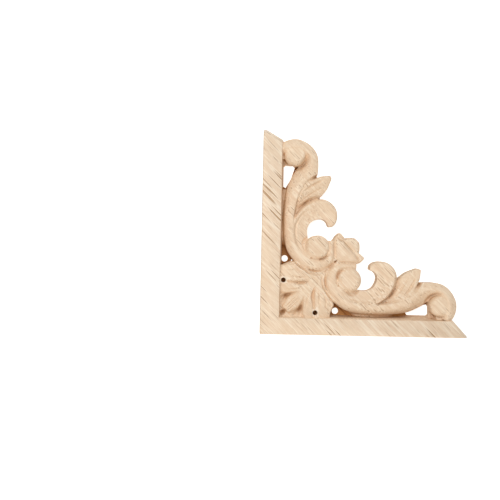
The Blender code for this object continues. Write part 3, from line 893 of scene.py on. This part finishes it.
vessels.links.new(line, gives["Vessel"])
vessels.links.new(math(vessels, "SUBTRACT", halo, line, clamp=True), gives["Beside"])
print("vessels: ready")

# %% [markdown]
# The board was glued up from strips, and each strip has its own tone. Across the grain, the place divided by a
# strip's width and rounded down is the strip's number, and White Noise turns a number into a random tone.

# %% Group: glued strips
strips, given, gives = node_group(
    "ShaderNodeTree", "glued strips",
    [("Vector", "Vector"), ("Width", "Float", 22.0), ("Shift", "Float", 0.0)],
    [("Tone", "Float"), ("Seam", "Float")],
)
apart = add(strips, "ShaderNodeSeparateXYZ", {0: given["Vector"]})
across = math(strips, "DIVIDE", math(strips, "ADD", apart.outputs["Z"], given["Shift"]), given["Width"])
tone = add(strips, "ShaderNodeTexWhiteNoise", {"W": math(strips, "FLOOR", across)}, noise_dimensions="1D")
strips.links.new(tone.outputs["Value"], gives["Tone"])
to_seam = math(strips, "ABSOLUTE", math(strips, "SUBTRACT", math(strips, "FRACT", across), 0.5))
strips.links.new(ramp(strips, to_seam, 0.49, 0.5), gives["Seam"])
print("glued strips: ready")

# %% [markdown]
# Bare wood that no stain has touched is darker where a surface cuts the fibres across. On top of that, painted
# shade darkens the sheltered hollows, the thin creases and the floors of the deep pockets. The crests are
# painted paler, partly for the sander's wear and partly as a painted highlight. All that was cut below the
# board's face is a little duller than the face itself.

# %% Group: painted shade in hollows, and end grain
# painted shade in the thin creases
CREASE_PAINTED_SHADE = (0.62, 0.49, 0.37)
# painted shade in sheltered hollows, by how many rays hit the onlay again
SHELTER_PAINTED_SHADE = (0.62, 0.47, 0.31)
# painted shade on the floors of the deep pockets
POCKET_FLOOR_PAINTED_SHADE = (0.66, 0.42, 0.20)
END_GRAIN_TINT = (0.97, 0.94, 0.90)
CUT_TINT = (0.95, 0.93, 0.905)  # the carved part is less sanded than the ledges
# crests: partly the sander's wear, partly a painted highlight
CREST_WEAR_AND_HIGHLIGHT = (0.97, 0.86, 0.72)
painted_shade_and_end_grain, given, gives = node_group(
    "ShaderNodeTree", "hollows and end grain",
    [("Color", "Color"), ("Crease", "Float"), ("Shelter", "Float"), ("Floor", "Float"), ("Cut", "Float"),
     ("Across", "Float"), ("Normal", "Vector")],
    [("Color", "Color")],
)
facing = vectors(painted_shade_and_end_grain, "DOT_PRODUCT", given["Normal"], (0, -1, 0))
color_with_painted_shade = given["Color"]
for share, tint, blend in (
    (given["Across"], END_GRAIN_TINT, "MULTIPLY"),
    (given["Cut"], CUT_TINT, "MULTIPLY"),
    # crests: paler, partly for wear and partly as a painted highlight
    (ramp(painted_shade_and_end_grain, given["Crease"], -0.32, -0.06, 0.5, 0.0), CREST_WEAR_AND_HIGHLIGHT, "MIX"),
    # thin creases: painted shade
    (ramp(painted_shade_and_end_grain, given["Crease"], 0.03, 0.5, 0.0, 0.6), CREASE_PAINTED_SHADE, "MULTIPLY"),
    # sheltered hollows: painted shade
    (ramp(painted_shade_and_end_grain, given["Shelter"], 0.62, 1.0), SHELTER_PAINTED_SHADE, "MULTIPLY"),
    # floors of the deep pockets that face the front: painted shade
    (math(painted_shade_and_end_grain, "MULTIPLY", given["Floor"], ramp(painted_shade_and_end_grain, facing, 0.3, 0.7)), POCKET_FLOOR_PAINTED_SHADE, "MULTIPLY"),
):
    color_with_painted_shade = mixed(painted_shade_and_end_grain, share, color_with_painted_shade, tint, blend)
painted_shade_and_end_grain.links.new(color_with_painted_shade, gives["Color"])
print("hollows and end grain: ready")

# %% [markdown]
# ## The wood itself
#
# The colours are those of a pale plantation hardwood: cream, with pinker strips and straw-brown growth bands.
# The material stacks the groups from the broadest effect to the finest. The same masks drive the roughness and
# a bump of a few hundredths of a millimetre: vessels are open grooves, and the fibres stand up a little.

# %% Finish: bare wood
CREAM = (0.90, 0.735, 0.55)
STRAW = (0.82, 0.61, 0.42)
PINK = (0.90, 0.67, 0.50)
PALE = (0.98, 0.83, 0.655)
BROWN = (0.75, 0.53, 0.345)
VESSEL_BROWN = (0.42, 0.22, 0.09)
SEAM_BROWN = (0.62, 0.45, 0.31)
GRAIN_ANGLE = -45.0  # degrees about Y, from the ledge to the grain
GRAIN_TILT = 2.0  # the vessels dip a little into the board
STRIP = 15  # the number of the middle strip, chosen for its coarse vessels
STRIP_WIDTH = 24.0
COARSE = (0.85, 1.45)  # the size of the vessels, from the finest strip to the coarsest
STRIP_SHIFT = 2.8  # mm
VESSEL_SIZE = 0.22  # of a large vessel, as a share of its cell
VESSEL_SHARE = (0.75, 0.4)  # how dark the large vessels are on the face, and where the wood is cut
ROUGHNESS = (0.62, 0.80)  # between the fibres, and on them
FIBRE_RELIEF = 0.02  # mm
MOTTLE_RELIEF = 0.05
VESSEL_RELIEF = -0.07
SPECULAR = 0.25
STREAKS = (
    # length and width in mm, and detail, of the bands, the figure, the fibres, the hairs and the mottle
    (90.0, 6.5, 2.0), (26.0, 1.7, 2.0), (11.0, 0.55, 3.0), (6.0, 0.3, 1.0), (1.8, 0.9, 3.0),
)

wood = bpy.data.materials.new("bare_wood")
wood.use_nodes = True
tree = wood.node_tree
shader = tree.nodes["Principled BSDF"]
shader.inputs["Specular IOR Level"].default_value = SPECULAR


def group_node(group, **values):
    values = {name.replace("_", " "): value for name, value in values.items()}
    return add(tree, "ShaderNodeGroup", values, node_tree=group).outputs


where = add(tree, "ShaderNodeTexCoord")
grain = add(tree, "ShaderNodeMapping", {
    "Vector": where.outputs["Object"], "Scale": (1 / MM, 1 / MM, 1 / MM),
    "Rotation": (0, radians(GRAIN_ANGLE), radians(GRAIN_TILT)),
}).outputs["Vector"]
bands, figure, fibres, hairs, mottle = (
    group_node(streaks, Vector=grain, Length=length, Width=width, Detail=detail)["Streak"]
    for length, width, detail in STREAKS
)
board = group_node(strips, Vector=grain, Width=STRIP_WIDTH, Shift=STRIP_SHIFT + STRIP_WIDTH * (STRIP - 1))
size = math(tree, "MULTIPLY", ramp(tree, board["Tone"], 0.0, 1.0, *COARSE), VESSEL_SIZE)
large = group_node(vessels, Vector=grain, Cell_length=26.0, Cell_width=0.95, Size=size)
small = group_node(vessels, Vector=grain, Cell_length=12.0, Cell_width=0.7, Size=0.2)

marks = {}
for name in MARKS:
    read = add(tree, "ShaderNodeAttribute", attribute_type="GEOMETRY", attribute_name=name)
    marks[name.title()] = read.outputs["Fac"]
color = CREAM
for mask, share, tint in (
    # from the broadest to the finest
    (bands, 0.5, STRAW), (board["Tone"], 0.5, PINK), (figure, 0.28, BROWN), (mottle, 0.38, BROWN),
    (fibres, 0.55, PALE), (hairs, 0.42, BROWN), (board["Seam"], 0.3, SEAM_BROWN), (large["Beside"], 0.7, PALE),
    (small["Vessel"], 0.4, VESSEL_BROWN),
    (large["Vessel"], ramp(tree, marks["Cut"], 0.0, 1.0, *VESSEL_SHARE), VESSEL_BROWN),
):
    color = mixed(tree, math(tree, "MULTIPLY", mask, share), color, tint)

surface = add(tree, "ShaderNodeNewGeometry")
along_grain = (cos(radians(GRAIN_ANGLE)), 0, sin(radians(GRAIN_ANGLE)))
across = math(tree, "ABSOLUTE", vectors(tree, "DOT_PRODUCT", surface.outputs["Normal"], along_grain))
across = math(tree, "POWER", across, 2.0)
# the end grain, painted shade in hollows and creases, and a partly painted highlight on the crests
color_with_painted_shade = group_node(painted_shade_and_end_grain, Color=color, Across=across, Normal=where.outputs["Normal"], **marks)
relief = 0.0
for mask, height in (
    (fibres, FIBRE_RELIEF), (mottle, MOTTLE_RELIEF), (large["Vessel"], VESSEL_RELIEF),
    (small["Vessel"], VESSEL_RELIEF),
):
    relief = math(tree, "MULTIPLY_ADD", mask, height, relief)
bump = add(tree, "ShaderNodeBump", {"Distance": MM, "Height": relief})
tree.links.new(color_with_painted_shade["Color"], shader.inputs["Base Color"])
tree.links.new(ramp(tree, fibres, 0.0, 1.0, *ROUGHNESS), shader.inputs["Roughness"])
tree.links.new(bump.outputs["Normal"], shader.inputs["Normal"])

onlay.data.materials.clear()
onlay.data.materials.append(wood)
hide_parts("corner_onlay")
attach(onlay, "root")
print("bare wood:", len(tree.nodes), "nodes, with", len(bpy.data.node_groups), "groups in the file")

# %% [markdown]
# ## The camera
#
# The photograph was taken from straight in front, close by, with the onlay right of the middle. The camera
# stands where the two ledges show the same perspective as they do there, and is turned by a little over a
# degree.

# %% Camera
CAMERA_PLACE = (-8.4 * MM, -309 * MM, 28.2 * MM)
CAMERA_ANGLE = 35.49  # degrees across the picture
CAMERA_ROLL = 1.2
camera = bpy.data.cameras.new("camera")
camera.angle = radians(CAMERA_ANGLE)
camera_object = new_object("camera", camera)
turned = Matrix.Rotation(pi / 2, 4, "X") @ Matrix.Rotation(radians(CAMERA_ROLL), 4, "Z")
camera_object.matrix_world = Matrix.Translation(CAMERA_PLACE) @ turned
bpy.context.scene.camera = camera_object
print(f"camera {-CAMERA_PLACE[1] / MM:.0f} mm in front of the back")

# %% [markdown]
# ## Light
#
# The picture is nearly shadowless: the light comes from all round, as in a light tent, with a little more from
# above, from below and from the front left. The world gives the even part, and three soft lamps the rest. The
# white paper throws light back from behind, most of it from the lower right, which lifts the outlines of the
# carving. So the world's strength follows the direction in which a ray leaves.

# %% Light
AMBIENT = 0.41
AMBIENT_COLOR = (1, 0.99, 0.97)
PAPER_BOUNCE = (0.45, 1.1)  # what the paper throws back from the upper left, and from the lower right
BOUNCE_SLOPE = 0.6  # how much of that change comes with the height
BOUNCE_REACH = 0.7  # and how far from the middle it ends
PAPER_EDGE = (-0.02, 0.12)  # a ray turns from the room to the paper between these shares of +Y
LAMPS = (
    # name, place in metres, size in metres, watts, colour
    ("above", (0.03, -0.25, 0.46), 0.30, 0.6, (0.84, 0.93, 1.0)),
    ("below", (0.03, -0.25, -0.40), 0.30, 0.7, (1.0, 0.94, 0.86)),
    ("front", (-0.10, -0.40, 0.12), 0.30, 0.85, (1.0, 1.0, 1.0)),
)
world = bpy.data.worlds.new("studio")
bpy.context.scene.world = world
world.use_nodes = True
tree = world.node_tree
tree.nodes.clear()
parts = add(tree, "ShaderNodeSeparateXYZ", {0: add(tree, "ShaderNodeTexCoord").outputs["Generated"]}).outputs
lean = math(tree, "SUBTRACT", parts["X"], math(tree, "MULTIPLY", parts["Z"], BOUNCE_SLOPE))
bounce = ramp(tree, lean, -BOUNCE_REACH, BOUNCE_REACH, *PAPER_BOUNCE)
strength = ramp(tree, parts["Y"], *PAPER_EDGE, AMBIENT, bounce)
ambient = add(tree, "ShaderNodeBackground", {"Color": AMBIENT_COLOR, "Strength": strength}).outputs[0]
seen = add(tree, "ShaderNodeBackground", {"Color": (1, 1, 1), "Strength": 1.0}).outputs[0]
path = add(tree, "ShaderNodeLightPath")
mix = add(tree, "ShaderNodeMixShader", {0: path.outputs["Is Camera Ray"], 1: ambient, 2: seen})
add(tree, "ShaderNodeOutputWorld", {0: mix.outputs[0]})

middle = Vector(place(30, 30, 5))
for name, spot, size, energy, tint in LAMPS:
    lamp = bpy.data.lights.new(name, "AREA")
    lamp.color = tint
    lamp.size = size
    lamp.energy = energy
    thing = new_object(name, lamp)
    thing.location = spot
    thing.rotation_euler = (middle - Vector(spot)).to_track_quat("-Z", "Y").to_euler()
    thing.visible_camera = False
print(len(LAMPS), "lamps and an ambient light of", AMBIENT)

# %% [markdown]
# ## The backdrop
#
# The onlay lay on white paper that the light washed out. Here it stands, so the paper is a sweep: upright just
# behind the flat back, then curved into a pale floor below the picture. Only the camera sees it, so it takes
# no light from the carving, and seen from behind it is clear, so that the flat back can be looked at too.

# %% Backdrop
PAPER_GAP = 0.0004
PAPER_HALF = 0.6
PAPER_TOP = 0.5
FLOOR = -0.09
BEND = 0.05  # radius of the curve between the upright part and the floor
FLOOR_FRONT = -0.7
BEND_STEPS = 16
PAPER_GLOW = 0.72  # the washed-out white: the lamps add the rest
profile = [(PAPER_GAP, PAPER_TOP)]
for turn in np.linspace(0, pi / 2, BEND_STEPS + 1):
    profile.append((PAPER_GAP - BEND * (1 - cos(turn)), FLOOR + BEND * (1 - sin(turn))))
profile.append((FLOOR_FRONT, FLOOR))
corners, faces = [], []
for y, z in profile:
    corners += [(-PAPER_HALF, y, z), (PAPER_HALF, y, z)]
for row in range(len(profile) - 1):
    faces.append((2 * row, 2 * row + 2, 2 * row + 3, 2 * row + 1))
data = bpy.data.meshes.new("paper")
data.from_pydata(corners, [], faces)
data.shade_smooth()
paper = new_object("paper", data)
for ray in ("diffuse", "glossy", "transmission", "volume_scatter", "shadow"):
    setattr(paper, f"visible_{ray}", False)

white = bpy.data.materials.new("washed_out_paper")
white.use_nodes = True
tree = white.node_tree
tree.nodes.clear()
glow = add(tree, "ShaderNodeEmission", {"Strength": PAPER_GLOW}).outputs[0]
both = add(tree, "ShaderNodeAddShader", {0: glow, 1: add(tree, "ShaderNodeBsdfDiffuse").outputs[0]}).outputs[0]
unseen = add(tree, "ShaderNodeBsdfTransparent").outputs[0]
behind = add(tree, "ShaderNodeNewGeometry").outputs["Backfacing"]
side = add(tree, "ShaderNodeMixShader", {0: behind, 1: both, 2: unseen})
add(tree, "ShaderNodeOutputMaterial", {"Surface": side.outputs[0]})
paper.data.materials.append(white)
paper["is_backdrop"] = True
print("paper faces", [round(value, 2) for value in data.polygons[0].normal])

# %% [markdown]
# ## Sizes, and the end
#
# The dressed model's box is printed, and both boxes are gathered in one table. The dressed model has to stay
# inside the imported one's box.

# %% Finish
bpy.context.scene.view_settings.view_transform = "Standard"
low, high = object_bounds()
print("visual model, in mm:", [round(1000 * side, 1) for side in high - low])

size = {"cad": [list(cad_low), list(cad_high)], "visual": [list(corner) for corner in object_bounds()]}
